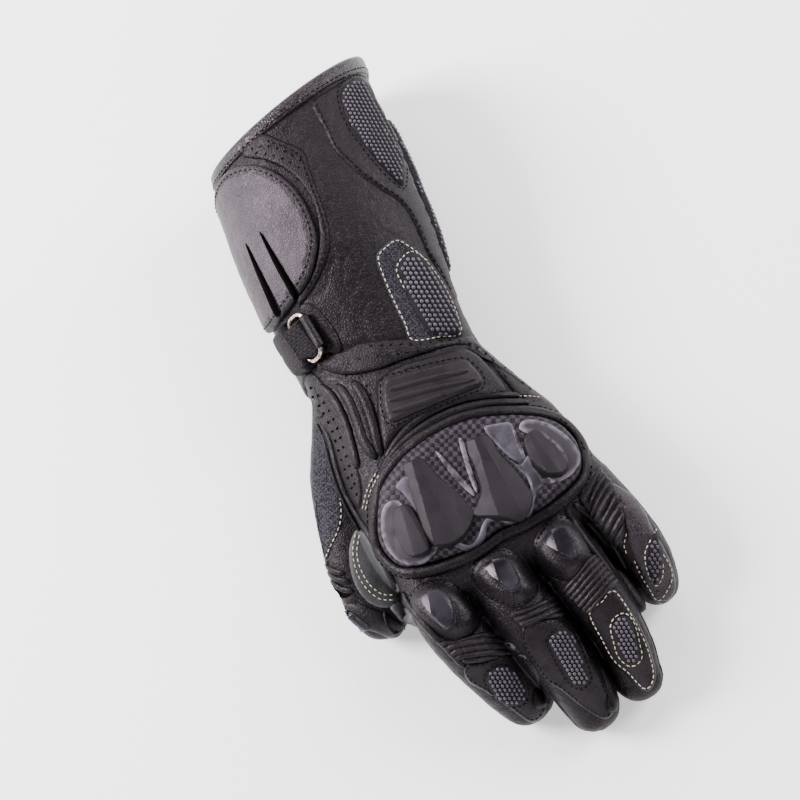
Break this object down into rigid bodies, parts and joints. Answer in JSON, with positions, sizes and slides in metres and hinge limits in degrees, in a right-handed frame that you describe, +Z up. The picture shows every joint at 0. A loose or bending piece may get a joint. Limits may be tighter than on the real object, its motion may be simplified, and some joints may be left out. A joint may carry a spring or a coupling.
{
  "type": "motorcycle glove",
  "caption": "Left-hand leather race glove with a long gauntlet, a moulded knuckle guard, finger caps and a strapped cuff.",
  "frame": {"origin": "under the middle of the glove's box, on the surface it lies on", "axes": "+Z up, +X to the little finger's side, +Y to the mouth of the gauntlet, so the fingertips are at -Y"},
  "size_m": [0.143, 0.3328, 0.0733],
  "materials": {
    "black_leather": "satin grained cowhide, worn grey on the edges",
    "palm_leather": "matte smooth grey leather",
    "flap_rubber": "matte grey rubberised closure flap",
    "moulded_plastic": "glossy dark moulding over a fine weave",
    "smoked_plastic": "smoky satin insert",
    "beaded_rubber": "padded textile with rows of small raised rubber beads",
    "stretch_denim": "blue-grey coarse stretch weave",
    "metal": "polished wire with a warm tint"
  },
  "bodies": {
    "root": {"gauntlet_back": "black_leather", "gauntlet_palm": "palm_leather", "hand_back": "black_leather", "hand_palm": "palm_leather", "index_back": "black_leather", "index_palm": "palm_leather", "middle_back": "black_leather", "middle_palm": "palm_leather", "ring_back": "black_leather", "ring_palm": "palm_leather", "little_back": "black_leather", "little_palm": "palm_leather", "thumb_back": "black_leather", "thumb_palm": "palm_leather", "hem_binding": "black_leather", "closure_flap": "flap_rubber", "wrist_strap": "black_leather", "ring_loop": "black_leather", "hem_bead_pad": "beaded_rubber", "edge_bead_pad": "beaded_rubber", "wrist_pad_border": "stretch_denim", "wrist_bead_pad": "beaded_rubber", "badge_pad": "black_leather", "wrist_badge": "moulded_plastic", "knuckle_guard": "moulded_plastic", "guard_lobe_index": "smoked_plastic", "guard_lobe_middle": "smoked_plastic", "guard_lobe_ring": "smoked_plastic", "guard_lobe_little": "smoked_plastic", "thumb_stretch_panel": "stretch_denim", "web_patch": "palm_leather", "thumb_cap": "moulded_plastic", "palm_patch": "palm_leather", "index_grip_patch": "palm_leather", "middle_grip_patch": "palm_leather", "index_cap_pad": "black_leather", "index_cap": "moulded_plastic", "middle_cap_pad": "black_leather", "middle_cap": "moulded_plastic", "ring_cap_pad": "black_leather", "ring_cap": "moulded_plastic", "index_tip_pad": "beaded_rubber", "middle_tip_pad": "beaded_rubber", "ring_tip_pad": "beaded_rubber", "little_tip_pad": "beaded_rubber", "index_stretch_ribs": "black_leather", "middle_stretch_ribs": "black_leather", "ring_stretch_ribs": "black_leather", "little_stretch_ribs": "black_leather", "ridge_1": "black_leather", "ridge_2": "black_leather", "ridge_3": "black_leather", "guard_welt_1": "black_leather", "guard_welt_2": "black_leather", "strap_ring": "metal"}
  },
  "joints": []
}
